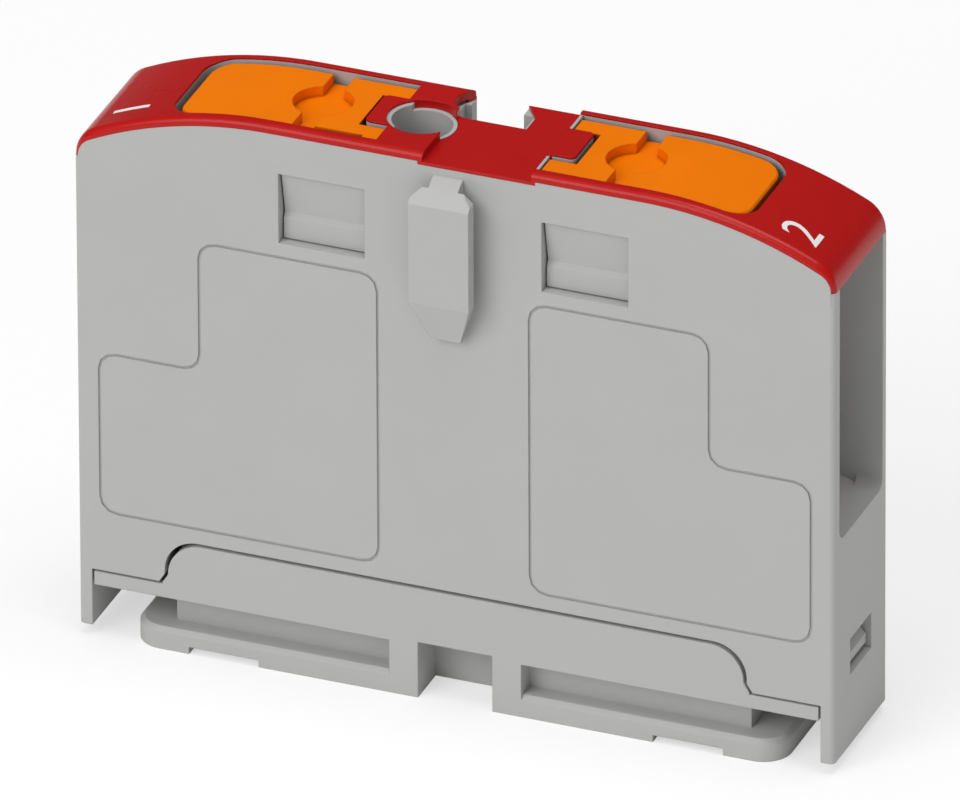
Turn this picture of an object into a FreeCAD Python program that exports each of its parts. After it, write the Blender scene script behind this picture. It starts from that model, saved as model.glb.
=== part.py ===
"""Feed-in distribution block: a slim housing on a rail foot, two spring clamps and their release levers.

Millimetres. X runs along the block, the shown front face looks towards -Y, and Z = 0 is the foot's underside.
"""
import FreeCAD, Part
import math
import os

from FreeCAD import Vector

os.makedirs("parts", exist_ok=True)

# Overall size
THICKNESS = 12.2          # one pitch in a row of blocks
HALF_LENGTH = 33.5
TOP_Z = 51.2
CROWN_RUN = 17.0          # at each end the flat top falls away over this length
CROWN_RADIUS = 35.75      # in this arc

# Housing
SIDE_WALL = 1.15
END_WALL = 1.6
LEG_WALL = 1.2
LEG_Z = 1.07
LOWER_EDGE_Z = 6.4
CHAMBER_FLOOR_Z = 12.2
CORNER_ROUND = 0.5
FLOOR_WALL = 0.9          # floor over the latch rooms
SILL_RISE = 0.1           # lower edge of the entry over half way from floor to busbar
SILL_DEPTH = 2.3
FUNNEL_RISE_DEG = 17.0
FUNNEL_REACH = 8.5        # the entry's ramp ends this far in from the end face
FUNNEL_WALL = 1.3
ENTRY_ROUND = 1.0
SEAT_DROP = 4.2           # shoulder in the side walls that carries the lever frame
SEAT_WALL = 0.4
RIB_WALL = 0.8
LATCH_ROOM = 4.45
BUSBAR_RIB_X = 6.3

# Snap windows in the side walls
WINDOW_X0 = 7.8
WINDOW_X1 = 15.4
WINDOW_DROP = 0.15         # upper edge under that shoulder
WINDOW_HEIGHT = 6.45

# Outlines pressed into the side faces
OUTLINE_X0 = 6.7
OUTLINE_INSET = 2.05       # from the block's end
OUTLINE_STEP = 8.95
OUTLINE_Z0 = 12.0
OUTLINE_DROP = 1.35        # under the snap windows
OUTLINE_STEP_DROP = 12.05
OUTLINE_ROUND = 1.5
OUTLINE_CHORDS = 3        # each rounded corner of the groove is drawn in this many chords
GROOVE_WIDTH = 0.22
GROOVE_DEPTH = 0.15

# Coupling key on the front and its channel in the back
COUPLING_X = -0.36
KEY_WIDTH = 5.34
KEY_NECK = 2.6
KEY_REACH = 2.4
KEY_HEAD = 1.2
KEY_TIP_GAP = 0.3         # tip over the floor of the next block's channel
KEY_TAPER = 3.9
KEY_SHOULDER_DROP = 1.8    # heights under the key's top
KEY_CORNER_DROP = 1.4
KEY_BEVEL_DROP = 0.85
KEY_CAP_DROP = 0.7
KEY_TOP_DROP = 1.7        # and of the key's top under the cover's
KEY_BEVEL = 0.85
KEY_CAP_WIDTH = 3.8
KEY_TOP_REACH = 0.5
KEY_TIP_BEVEL = 0.2
CHANNEL_MOUTH = 4.6
CHANNEL_WIDTH = 6.1
CHANNEL_SHIFT = 0.21       # the channel's middle lies this far beside the key's
CHANNEL_DEPTH = 2.75
CHANNEL_WALL = 0.6
CHANNEL_BAR_GAP = 0.3
CHANNEL_ROUND = 1.6       # the corner that makes room for the test tube
NOTCH_LAP = 0.35          # the cover's notch is this much wider than the channel on each side
NOTCH_BEVEL_Y = 4.3       # and narrows from here to the channel's mouth

# Top cover
COVER_THICKNESS = 0.75
COVER_LIP = 0.2           # the cover over the lever frame's collars
COVER_EDGE_ROUND = 0.6
COVER_END_ROUND = 2.8
COVER_INNER_ROUND = 1.7
COVER_GAP = 0.02
COLLAR_GAP = 0.05
COVER_END_WALL = 0.35
COVER_END_DROP = 6.1
RECESS_X0 = -2.7
RECESS_X1 = 6.85
RECESS_DROP = 0.75
RECESS_PLATE = 0.3
RECESS_LAP = 0.4          # the middle plate runs this far under the raised ends
PEG_RADIUS = 0.6
PEG_LENGTH = 1.4
PEG_GAP = 0.05
PEG_ROOT = 0.3
PEG_END_GAP = 0.3
PEG_INSET = 5.78          # from the block's end
MIDDLE_PEG = (4.9, -3.0)

# Lever openings
OPENING_X0 = 7.1
OPENING_INSET = 7.85       # from the block's end
OPENING_HALF = 5.15
OPENING_ROUND = 2.4
TONGUE_X = 9.25
TONGUE_HALF = 2.35
TONGUE_ROUND = 0.5
TONGUE_DEPTH = 4.6
COLLAR_WALL = 0.45
SEAT_GAP = 0.1

# Levers
LEVER_DROP = 0.3          # lever surface under the cover surface
LEVER_TIP_GAP = 0.15
LEVER_END_GAP = 0.45
LEVER_SIDE_GAP = 0.4
LEVER_TONGUE_GAP = 0.35
LEVER_PLATE = 1.9
LEVER_END_ROUND = 2.0
LEVER_EDGE = 0.15
LEVER_ARM_HALF = 4.1
LEVER_ARM_FOOT = 0.95      # under the pivot
LEVER_ARM_ROUND = 0.9
LEVER_ARM_HEAD = 2.3       # over the pivot
LEVER_CHEEK = 0.8
LEVER_CHEEK_INSET = 0.85
CHEEK_X0 = 9.7
CHEEK_INSET = 3.05         # from the opening's end
CHEEK_DROP = 4.7           # lower edge at the fingers, under the top
CHEEK_RISE = 0.6           # and at both ends, over that
CHEEK_ROOT = 0.5
PIVOT_X = 8.3
PIVOT_DROP = 2.8
TRUNNION_RADIUS = 1.0
TRUNNION_GAP = 0.08
TRUNNION_END_GAP = 0.1
POCKET_X = 13.8
POCKET_RADIUS = 2.55
POCKET_DEPTH = 0.95
SLOT_WIDTH = 1.85
FINGER_X0 = 14.3
FINGER_X1 = 17.3
FINGER_TOE_X = 15.6
FINGER_TOE = 0.6
FINGER_GAP = 0.2
FINGER_ROUND = 0.2
FINGER_HEEL = 0.7
RELIEF_X0 = 8.6
RELIEF_X1 = 12.9
RELIEF_DEPTH = 0.45
RELIEF_HEIGHT = 0.8

# Lever frame
FRAME_GAP = 0.1
HOOK_PLATE = 0.6
HOOK_REACH = 0.85
HOOK_RIDGE = 2.0
HOOK_GAP = 0.12
HOOK_LOW_REACH = 0.4
HOOK_STEP = 0.3
HOOK_STEP_RISE = 0.5
HOOK_LEDGE = 0.3           # the ledge that carries each hook under the collar
GUARD_INSET = 3.9         # outer end of the guard over the conductor entry, from the block's end
GUARD_BAR_RISE = 0.9      # lower end over the busbar's top
GUARD_SLOPE = 3.7
GUARD_WALL = 1.2
GUARD_BEND_DROP = 0.1     # under the cover's end wall
GUARD_ROOF_RISE = 0.2
GUARD_ROOF = 1.8
GUARD_LIP = 0.6
TEST_X = -5.0
TEST_Y = -0.15
TEST_BORE_RADIUS = 2.55
TEST_RING_RADIUS = 2.9
TEST_TUBE_LENGTH = 8.45

# Live parts
BUSBAR_DROP = 1.1         # underside below half way from floor to top
BUSBAR_THICKNESS = 2.8
BUSBAR_HALF_LENGTH = 17.4
BUSBAR_NARROW_HALF = 2.9
BUSBAR_WIDE_HALF = 4.2
BUSBAR_WIDE_X = 6.9
BUSBAR_TAPER = 0.4
BUSBAR_STEP_ROUND = 0.3
BUSBAR_END_ROUND = 0.8
RIDGE_X = 13.6
RIDGE_PITCH = 1.2
RIDGE_COUNT = 3
RIDGE_HEIGHT = 0.3
CAGE_X0 = 7.8
CAGE_INSET = 6.3          # from the block's end
CAGE_HALF = 4.4
CAGE_SHEET = 1.0
CAGE_LIP = 2.6
CAGE_HEAD = 1.8
CAGE_ROUND = 0.5
CAGE_GAP = 0.05
SPRING_SHEET = 0.9
SPRING_HALF = 4.1
SPRING_BEND_INSET = 4.6
SPRING_BEND_RADIUS = 3.2
SPRING_TIP_X = 12.4
SPRING_GAP = 0.06
SPRING_INSET = 0.6
SOCKET_BORE_RADIUS = 2.0
SOCKET_WALL = 0.35
SOCKET_TUBE_GAP = 2.5
SOCKET_SLIT = 0.5
SOCKET_SLIT_RISE = 2.5
SOCKET_FLOOR = 0.8
SHANK_RADIUS = 1.7
SHANK_LENGTH = 2.6
SHANK_GAP = 0.03

# Rail foot
FOOT_HUMP_Z = 10.3
FOOT_HUMP_RADIUS = 3.0
FOOT_SHOULDER_Z = 7.2
FOOT_FLARE = 0.5
FOOT_FLARE_ROUND = 0.4
FOOT_GAP = 0.3
STRIP_INSET = 1.4         # ends of the strip, web and tray, from the block's end
STRIP_Z0 = 4.95
STRIP_Z1 = 6.2
WEB_END_INSET = 8.0
WEB_INSET = 1.9
TRAY_INSET = 4.65
TRAY_TOP_Z = 2.0
TRAY_ROUND = 2.5
TRAY_EDGE = 0.4
RAIL_X0 = 17.5            # half the width of a 35 mm rail
RAIL_X1 = 23.7
RAIL_NOTCH = 0.65
POST_X0 = 3.3
POST_X1 = 5.85
POST_Z0 = 0.5
GATE_Z = 5.25
GATE_DEPTH = 4.0
FOOT_WALL = 1.2
FOOT_POCKET_Z = 6.4
FOOT_RIB_WALL = 1.0
FOOT_RIB_PITCH = 11.0
FOOT_RIB_Z = 9.3
LATCH_HALF = 2.2
LATCH_INSET = 3.3         # from the block's end
LATCH_ARM = 1.3
LATCH_TOP_Z = 10.8
LATCH_NOSE_Z = 8.3
LATCH_REACH = 1.6
LATCH_NOSE_FACE = 0.8
LATCH_HEEL_Z = 7.8
LATCH_HEAD = 0.3
LATCH_WINDOW_HALF = 2.45
LATCH_WINDOW_Z0 = 7.7
LATCH_WINDOW_Z1 = 11.05

# Worked out from the sizes above
HALF = THICKNESS / 2
INNER_HALF = HALF - SIDE_WALL
FLAT_HALF = HALF_LENGTH - CROWN_RUN
CROWN_Z = TOP_Z - CROWN_RADIUS
COVER_END_Z = TOP_Z - COVER_END_DROP
RECESS_FLOOR_Z = TOP_Z - RECESS_DROP
SEAT_Z = TOP_Z - SEAT_DROP
WINDOW_Z1 = SEAT_Z - WINDOW_DROP
WINDOW_Z0 = WINDOW_Z1 - WINDOW_HEIGHT
OUTLINE_X1 = HALF_LENGTH - OUTLINE_INSET
OUTLINE_STEP_X = OUTLINE_X1 - OUTLINE_STEP
OUTLINE_Z1 = WINDOW_Z0 - OUTLINE_DROP
OUTLINE_STEP_Z = OUTLINE_Z1 - OUTLINE_STEP_DROP
BUSBAR_Z = (CHAMBER_FLOOR_Z + TOP_Z) / 2 - BUSBAR_DROP
BUSBAR_TOP_Z = BUSBAR_Z + BUSBAR_THICKNESS
SILL_Z = (CHAMBER_FLOOR_Z + BUSBAR_Z) / 2 + SILL_RISE
CHANNEL_FLOOR_Z = BUSBAR_TOP_Z + CHANNEL_BAR_GAP + CHANNEL_WALL
KEY_TIP_Z = CHANNEL_FLOOR_Z + KEY_TIP_GAP
KEY_TAPER_Z = KEY_TIP_Z + KEY_TAPER
KEY_TOP_Z = TOP_Z - KEY_TOP_DROP
KEY_CAP_Z = KEY_TOP_Z - KEY_CAP_DROP
KEY_BEVEL_Z = KEY_TOP_Z - KEY_BEVEL_DROP
KEY_CORNER_Z = KEY_TOP_Z - KEY_CORNER_DROP
KEY_SHOULDER_Z = KEY_TOP_Z - KEY_SHOULDER_DROP
PEG_X = HALF_LENGTH - PEG_INSET
OPENING_X1 = HALF_LENGTH - OPENING_INSET
TONGUE_Z0 = SEAT_Z - TONGUE_DEPTH
PIVOT_Z = TOP_Z - PIVOT_DROP
LEVER_ARM_Z = PIVOT_Z - LEVER_ARM_FOOT
LEVER_ARM_TOP_Z = PIVOT_Z + LEVER_ARM_HEAD
CHEEK_X1 = OPENING_X1 - CHEEK_INSET
CHEEK_Z0 = TOP_Z - CHEEK_DROP
CHEEK_Z1 = CHEEK_Z0 + CHEEK_RISE
HOOK_RIDGE_Z = WINDOW_Z0 + HOOK_RIDGE
HOOK_STEP_Z = HOOK_RIDGE_Z + HOOK_STEP_RISE
GUARD_X = HALF_LENGTH - GUARD_INSET
GUARD_SLOPE_X = GUARD_X - GUARD_SLOPE
GUARD_ROOF_X = GUARD_X - GUARD_ROOF
GUARD_Z = BUSBAR_TOP_Z + GUARD_BAR_RISE
GUARD_BEND_Z = COVER_END_Z - GUARD_BEND_DROP
GUARD_ROOF_Z = GUARD_BEND_Z + GUARD_ROOF_RISE
TEST_TUBE_Z = RECESS_FLOOR_Z - TEST_TUBE_LENGTH
SOCKET_TOP_Z = TEST_TUBE_Z - SOCKET_TUBE_GAP
CAGE_X1 = HALF_LENGTH - CAGE_INSET
SPRING_BEND_X = CAGE_X1 - SPRING_BEND_INSET
STRIP_HALF = HALF_LENGTH - STRIP_INSET
WEB_HALF = HALF_LENGTH - WEB_END_INSET
TRAY_HALF = HALF_LENGTH - TRAY_INSET
LATCH_X0 = HALF_LENGTH - LATCH_INSET
FRAME_HALF = INNER_HALF - FRAME_GAP
COLLAR_HALF = OPENING_HALF + COLLAR_WALL
COLLAR_X = OPENING_X1 + COLLAR_WALL
LEVER_HALF = OPENING_HALF - LEVER_SIDE_GAP
LEVER_X0 = OPENING_X0 + LEVER_TIP_GAP
LEVER_X1 = OPENING_X1 - LEVER_END_GAP
CHANNEL_Y = HALF - SIDE_WALL - CHANNEL_DEPTH
PLATE_Z = RECESS_FLOOR_Z - RECESS_PLATE

# Working allowances
JOIN = 0.1                 # what is fused runs this far into its neighbour
OVERRUN = 1.0              # cutting shapes run at least this far past what they cut
FAR = 100.0
MITRED = 2                 # offset with its corners kept sharp


def box(x0, x1, y0, y1, z0, z1):
    """Block between two corners, in any order."""
    low = Vector(min(x0, x1), min(y0, y1), min(z0, z1))
    return Part.makeBox(abs(x1 - x0), abs(y1 - y0), abs(z1 - z0), low)


def turned(radius, length, base, direction):
    return Part.makeCylinder(radius, length, Vector(*base), Vector(*direction))


def rounded_wire(corners):
    """Closed wire through the corners, given as points with the radius that rounds each."""
    edges = []
    first = last = None
    for i, (point, radius) in enumerate(corners):
        before = (corners[i - 1][0] - point).normalize()
        after = (corners[(i + 1) % len(corners)][0] - point).normalize()
        start = end = point
        if radius > 0:
            half_angle = before.getAngle(after) / 2
            reach = radius / math.tan(half_angle)
            start, end = point + before * reach, point + after * reach
            middle = (before + after).normalize()
            apex = point + middle * (radius / math.sin(half_angle) - radius)
        if last is not None and last.distanceToPoint(start) > 1e-6:
            edges.append(Part.makeLine(last, start))
        if radius > 0:
            edges.append(Part.Arc(start, apex, end).toShape())
        if first is None:
            first = start
        last = end
    if last.distanceToPoint(first) > 1e-6:
        edges.append(Part.makeLine(last, first))
    return Part.Wire(edges)


def chorded_wire(corners, chords):
    """Closed polygon through square corners, given as points with the radius that rounds each."""
    path = []
    for i, (point, radius) in enumerate(corners):
        before = (corners[i - 1][0] - point).normalize() * radius
        after = (corners[(i + 1) % len(corners)][0] - point).normalize() * radius
        centre = point + before + after
        for k in range(chords + 1):
            turn = math.pi / 2 * k / chords
            path.append(centre - after * math.cos(turn) - before * math.sin(turn))
    return Part.makePolygon(path + path[:1])


def side_slab(corners, y0, y1):
    """Outline drawn in the side view, given as (x, z) or (x, z, corner radius), from y0 to y1."""
    points = [(Vector(c[0], y0, c[1]), c[2] if len(c) > 2 else 0) for c in corners]
    return Part.Face(rounded_wire(points)).extrude(Vector(0, y1 - y0, 0))


def plan_slab(corners, z0, z1):
    """Outline drawn in the plan view, given as (x, y) or (x, y, corner radius), from z0 to z1."""
    points = [(Vector(c[0], c[1], z0), c[2] if len(c) > 2 else 0) for c in corners]
    return Part.Face(rounded_wire(points)).extrude(Vector(0, 0, z1 - z0))


def end_slab(corners, x0, x1):
    """Outline drawn in the end view, given as (y, z) or (y, z, corner radius), from x0 to x1."""
    points = [(Vector(x0, c[0], c[1]), c[2] if len(c) > 2 else 0) for c in corners]
    return Part.Face(rounded_wire(points)).extrude(Vector(x1 - x0, 0, 0))


def mirrored(shape):
    """The same shape on the other side of the middle, x to -x."""
    return shape.mirror(Vector(0, 0, 0), Vector(1, 0, 0))


def mirrored_y(shape):
    return shape.mirror(Vector(0, 0, 0), Vector(0, 1, 0))


def both_ends(shape):
    return [shape, mirrored(shape)]


def fuse(shape, *others):
    return shape.fuse(list(others)).removeSplitter()


def crown(drop, end, corner, half_width, base_z):
    """All that lies under the crowned top, lowered by drop, out to the ends, with rounded end corners."""
    radius = CROWN_RADIUS - drop
    corner_x = end - corner
    corner_z = CROWN_Z + math.sqrt((radius - corner) ** 2 - (corner_x - FLAT_HALF) ** 2)
    away = Vector(corner_x - FLAT_HALF, 0, corner_z - CROWN_Z).normalize()
    touch = Vector(FLAT_HALF, 0, CROWN_Z) + away * radius
    turn = math.atan2(away.z, away.x)
    apex = Vector(corner_x + corner * math.cos(turn / 2), 0, corner_z + corner * math.sin(turn / 2))
    rise = (turn + math.pi / 2) / 2
    shoulder = Vector(FLAT_HALF + radius * math.cos(rise), 0, CROWN_Z + radius * math.sin(rise))
    top_z = TOP_Z - drop

    def other(point):
        return Vector(-point.x, 0, point.z)

    flat_end = Vector(FLAT_HALF, 0, top_z)
    corner_end = Vector(end, 0, corner_z)
    base_end = Vector(end, 0, base_z)
    edges = [
        Part.makeLine(other(base_end), other(corner_end)),
        Part.Arc(other(corner_end), other(apex), other(touch)).toShape(),
        Part.Arc(other(touch), other(shoulder), other(flat_end)).toShape(),
        Part.makeLine(other(flat_end), flat_end),
        Part.Arc(flat_end, shoulder, touch).toShape(),
        Part.Arc(touch, apex, corner_end).toShape(),
        Part.makeLine(corner_end, base_end),
        Part.makeLine(base_end, other(base_end)),
    ]
    face = Part.Face(Part.Wire(edges))
    face.translate(Vector(0, -half_width, 0))
    return face.extrude(Vector(0, 2 * half_width, 0))


def crown_height(x, drop=0.0):
    """Height of the crowned top over the arc at x."""
    radius = CROWN_RADIUS - drop
    over = max(abs(x) - FLAT_HALF, 0)
    return CROWN_Z + math.sqrt(radius ** 2 - over ** 2)


def under_crown(drop, half_width):
    """The crown without its end corners, for cutting what stays well inside the block."""
    return crown(drop, HALF_LENGTH, COVER_THICKNESS, half_width, LOWER_EDGE_Z)


def hump_outline(grow):
    """Side view of the foot's hump, or with grow of the gap that the housing leaves round it."""
    side = WEB_HALF + grow
    return [
        (-side - FOOT_FLARE, STRIP_Z1 - OVERRUN),
        (-side - FOOT_FLARE, LOWER_EDGE_Z),
        (-side, FOOT_SHOULDER_Z, FOOT_FLARE_ROUND),
        (-side, FOOT_HUMP_Z + grow, FOOT_HUMP_RADIUS),
        (side, FOOT_HUMP_Z + grow, FOOT_HUMP_RADIUS),
        (side, FOOT_SHOULDER_Z, FOOT_FLARE_ROUND),
        (side + FOOT_FLARE, LOWER_EDGE_Z),
        (side + FOOT_FLARE, STRIP_Z1 - OVERRUN),
    ]


def chamber():
    """Hollow for the clamps and the conductors, open at the top and through both ends."""
    wall_x = HALF_LENGTH - END_WALL
    sill_x = HALF_LENGTH - SILL_DEPTH
    ramp_x = HALF_LENGTH - FUNNEL_REACH
    ramp_z = SILL_Z + (sill_x - ramp_x) * math.tan(math.radians(FUNNEL_RISE_DEG))
    root_z = SILL_Z - FUNNEL_WALL
    half = [
        (wall_x, CHAMBER_FLOOR_Z),
        (wall_x, root_z),
        (ramp_x, ramp_z - FUNNEL_WALL),
        (ramp_x, ramp_z),
        (sill_x, SILL_Z),
        (FAR, SILL_Z),
        (FAR, FAR),
    ]
    outline = half + [(-x, z) for x, z in reversed(half)]
    return side_slab(outline, -INNER_HALF, INNER_HALF)


def entry_corners():
    """Fillets that round the lower corners of each conductor entry."""
    corner = box(HALF_LENGTH - SILL_DEPTH, HALF_LENGTH, INNER_HALF - ENTRY_ROUND, INNER_HALF, SILL_Z,
                 SILL_Z + ENTRY_ROUND)
    centre = (HALF_LENGTH - SILL_DEPTH, INNER_HALF - ENTRY_ROUND, SILL_Z + ENTRY_ROUND)
    fillet = corner.cut(turned(ENTRY_ROUND, SILL_DEPTH, centre, (1, 0, 0)))
    return both_ends(fillet) + both_ends(mirrored_y(fillet))


def channel_outline(grow, back):
    """Plan view of the coupling channel, or with grow of the walls round it, as far as back."""
    x0 = COUPLING_X + CHANNEL_SHIFT - CHANNEL_WIDTH / 2 - grow
    x1 = x0 + CHANNEL_WIDTH + 2 * grow
    front = CHANNEL_Y - grow
    return [(x0, back), (x0, front, CHANNEL_ROUND + grow), (x1, front), (x1, back)]


def coupling_key():
    """Head and neck that slide down into the channel of the next block."""
    wide, cap, neck = KEY_WIDTH / 2, KEY_CAP_WIDTH / 2, KEY_NECK / 2
    head_y = -HALF - KEY_REACH
    root_y = -HALF + JOIN
    front_view = [
        (COUPLING_X - neck, KEY_TIP_Z),
        (COUPLING_X + neck, KEY_TIP_Z),
        (COUPLING_X + wide, KEY_TAPER_Z),
        (COUPLING_X + wide, KEY_CORNER_Z),
        (COUPLING_X + cap, KEY_CAP_Z),
        (COUPLING_X + neck, KEY_TOP_Z),
        (COUPLING_X - neck, KEY_TOP_Z),
        (COUPLING_X - cap, KEY_CAP_Z),
        (COUPLING_X - wide, KEY_CORNER_Z),
        (COUPLING_X - wide, KEY_TAPER_Z),
    ]
    end_view = [
        (root_y, KEY_TIP_Z),
        (head_y + KEY_HEAD - KEY_TIP_BEVEL, KEY_TIP_Z),
        (head_y, KEY_TAPER_Z),
        (head_y, KEY_SHOULDER_Z),
        (head_y + KEY_BEVEL, KEY_BEVEL_Z),
        (-HALF - KEY_TOP_REACH, KEY_TOP_Z - KEY_TIP_BEVEL),
        (root_y, KEY_TOP_Z),
    ]
    body = side_slab(front_view, head_y, root_y)
    body = body.common(end_slab(end_view, COUPLING_X - KEY_WIDTH, COUPLING_X + KEY_WIDTH))
    for side in (-1, 1):
        start = COUPLING_X + side * neck
        body = body.cut(box(start, start + side * FAR, head_y + KEY_HEAD, -HALF, 0, FAR))
    return body


def pressed_outline():
    """Fine groove that draws an outline round one clamp's place on the side face."""
    corners = [
        (OUTLINE_X0, OUTLINE_Z0, OUTLINE_ROUND),
        (OUTLINE_X1, OUTLINE_Z0, OUTLINE_ROUND),
        (OUTLINE_X1, OUTLINE_STEP_Z, OUTLINE_ROUND),
        (OUTLINE_STEP_X, OUTLINE_STEP_Z, OUTLINE_ROUND),
        (OUTLINE_STEP_X, OUTLINE_Z1, OUTLINE_ROUND),
        (OUTLINE_X0, OUTLINE_Z1, OUTLINE_ROUND),
    ]
    points = [(Vector(x, -HALF - OVERRUN, z), r) for x, z, r in corners]
    wire = chorded_wire(points, OUTLINE_CHORDS)
    outer = Part.Face(wire.makeOffset2D(GROOVE_WIDTH / 2, MITRED))
    inner = Part.Face(wire.makeOffset2D(-GROOVE_WIDTH / 2, MITRED))
    return outer.cut(inner).extrude(Vector(0, GROOVE_DEPTH + OVERRUN, 0))


def housing():
    """Slim shell with two legs, a floor over the foot, open conductor entries, key and channel."""
    end_x = HALF_LENGTH - COVER_END_WALL
    body = box(-HALF_LENGTH, HALF_LENGTH, -HALF, HALF, LEG_Z, COVER_END_Z)
    upright = [e for e in body.Edges if abs(e.Vertexes[0].X - e.Vertexes[-1].X) < 1e-6
               and abs(e.Vertexes[0].Y - e.Vertexes[-1].Y) < 1e-6]
    body = body.makeFillet(CORNER_ROUND, upright)
    body = fuse(body, crown(COVER_THICKNESS, end_x, COVER_INNER_ROUND, HALF, COVER_END_Z - OVERRUN))
    leg_x = HALF_LENGTH - LEG_WALL
    body = body.cut(box(-leg_x, leg_x, -FAR, FAR, 0, LOWER_EDGE_Z))
    body = body.cut(side_slab(hump_outline(FOOT_GAP), -FAR, FAR))
    body = body.cut(chamber())
    body = fuse(body, *entry_corners())
    body = body.cut(latch_rooms())
    body = body.cut(plate_seat())
    seat_half = HALF - SEAT_WALL
    seat_x = COLLAR_X + SEAT_GAP
    body = body.cut(box(-seat_x, seat_x, -seat_half, seat_half, SEAT_Z, FAR))
    body = fuse(body, channel_walls(), coupling_key(), *busbar_ribs())
    body = body.cut(channel_space())
    for window in snap_windows():
        body = body.cut(window)
    for groove in both_ends(pressed_outline()):
        body = body.cut(groove).cut(mirrored_y(groove))
    return body.removeSplitter()


def latch_rooms():
    """Room for the foot's latches beside the hump, with a window for each nose in the end wall."""
    wall_x = HALF_LENGTH - LEG_WALL
    room = box(wall_x - LATCH_ROOM, wall_x, -INNER_HALF, INNER_HALF, LOWER_EDGE_Z - OVERRUN,
               CHAMBER_FLOOR_Z - FLOOR_WALL)
    window = box(wall_x - OVERRUN, FAR, -LATCH_WINDOW_HALF, LATCH_WINDOW_HALF, LATCH_WINDOW_Z0,
                 LATCH_WINDOW_Z1)
    room = room.fuse(window)
    return room.fuse(mirrored(room))


def channel_walls():
    """Walls and floor round the channel, run into the back wall and up to the cover's middle plate."""
    return plan_slab(channel_outline(CHANNEL_WALL, HALF - JOIN), CHANNEL_FLOOR_Z - CHANNEL_WALL, PLATE_Z)


def channel_space():
    """T-shaped channel, open at the top, that takes the key of the next block."""
    x0 = COUPLING_X - CHANNEL_MOUTH / 2
    space = plan_slab(channel_outline(0, INNER_HALF), CHANNEL_FLOOR_Z, FAR)
    mouth = box(x0, x0 + CHANNEL_MOUTH, CHANNEL_Y + OVERRUN, FAR, CHANNEL_FLOOR_Z, FAR)
    return space.fuse(mouth)


def busbar_ribs():
    """Ribs across the chamber that part the two clamps and carry the busbar."""
    rib = box(BUSBAR_RIB_X - RIB_WALL / 2, BUSBAR_RIB_X + RIB_WALL / 2, -INNER_HALF - JOIN, INNER_HALF + JOIN,
              CHAMBER_FLOOR_Z - JOIN, BUSBAR_Z)
    return both_ends(rib)


def snap_windows():
    window = box(WINDOW_X0, WINDOW_X1, -FAR, -INNER_HALF + JOIN, WINDOW_Z0, WINDOW_Z1)
    return both_ends(window) + both_ends(mirrored_y(window))


def lever_opening():
    """Right-hand opening for a lever, cut back round the tongue, from far under to far over the top."""
    opening = plan_slab([
        (OPENING_X0, -OPENING_HALF),
        (OPENING_X1, -OPENING_HALF, OPENING_ROUND),
        (OPENING_X1, OPENING_HALF, OPENING_ROUND),
        (OPENING_X0, OPENING_HALF),
    ], 0, FAR)
    tongue = plan_slab([
        (0, -TONGUE_HALF),
        (TONGUE_X, -TONGUE_HALF, TONGUE_ROUND),
        (TONGUE_X, TONGUE_HALF, TONGUE_ROUND),
        (0, TONGUE_HALF),
    ], 0, FAR)
    return opening.cut(tongue)


def plate_seat():
    """Dip that the cover's middle plate lies in, from its underside up."""
    return box(RECESS_X0 - RECESS_LAP, RECESS_X1 + RECESS_LAP, -FAR, FAR, PLATE_Z, FAR)


def peg_places():
    """Plan positions of the pegs that hold the cover on the lever frame."""
    return [(-PEG_X, 0), (PEG_X, 0), MIDDLE_PEG]


def top_cover():
    """Thin crowned lid with the lever openings, the stepped middle and the notch over the channel."""
    lid = crown(0, HALF_LENGTH, COVER_END_ROUND, HALF, COVER_END_Z)
    long_edges = [e for e in lid.Edges if abs(abs(e.CenterOfMass.y) - HALF) < 1e-4]
    rim = [e for e in long_edges if e.BoundBox.ZMax > COVER_END_Z + COVER_INNER_ROUND]
    lid = lid.makeFillet(COVER_EDGE_ROUND, rim)
    recess = box(RECESS_X0, RECESS_X1, -FAR, FAR, RECESS_FLOOR_Z, FAR)
    inner_end = HALF_LENGTH - COVER_END_WALL
    under = crown(COVER_THICKNESS, inner_end, COVER_INNER_ROUND, FAR, COVER_END_Z - OVERRUN)
    plate = box(RECESS_X0 - RECESS_LAP, RECESS_X1 + RECESS_LAP, -HALF, HALF, PLATE_Z, RECESS_FLOOR_Z)
    lid = fuse(lid.cut(recess).cut(under), plate)
    for opening in both_ends(lever_opening()):
        lid = lid.cut(opening)
    for y0, y1 in ((TONGUE_HALF, OPENING_HALF), (-OPENING_HALF, -TONGUE_HALF)):
        lid = lid.cut(box(RECESS_X1, OPENING_X0, y0, y1, 0, FAR))
    for seat in collar_seats(COLLAR_GAP):
        lid = lid.cut(seat)
    lid = lid.cut(turned(TEST_RING_RADIUS + COLLAR_GAP, FAR, (TEST_X, TEST_Y, 0), (0, 0, 1)))
    lid = lid.cut(cover_notch())
    pegs = []
    for x, y in peg_places():
        base = (x, y, cover_underside(x) - PEG_LENGTH)
        root = PEG_ROOT if abs(x) > FLAT_HALF else RECESS_PLATE
        pegs.append(turned(PEG_RADIUS, PEG_LENGTH + root, base, (0, 0, 1)))
    return fuse(lid, *pegs)


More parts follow.
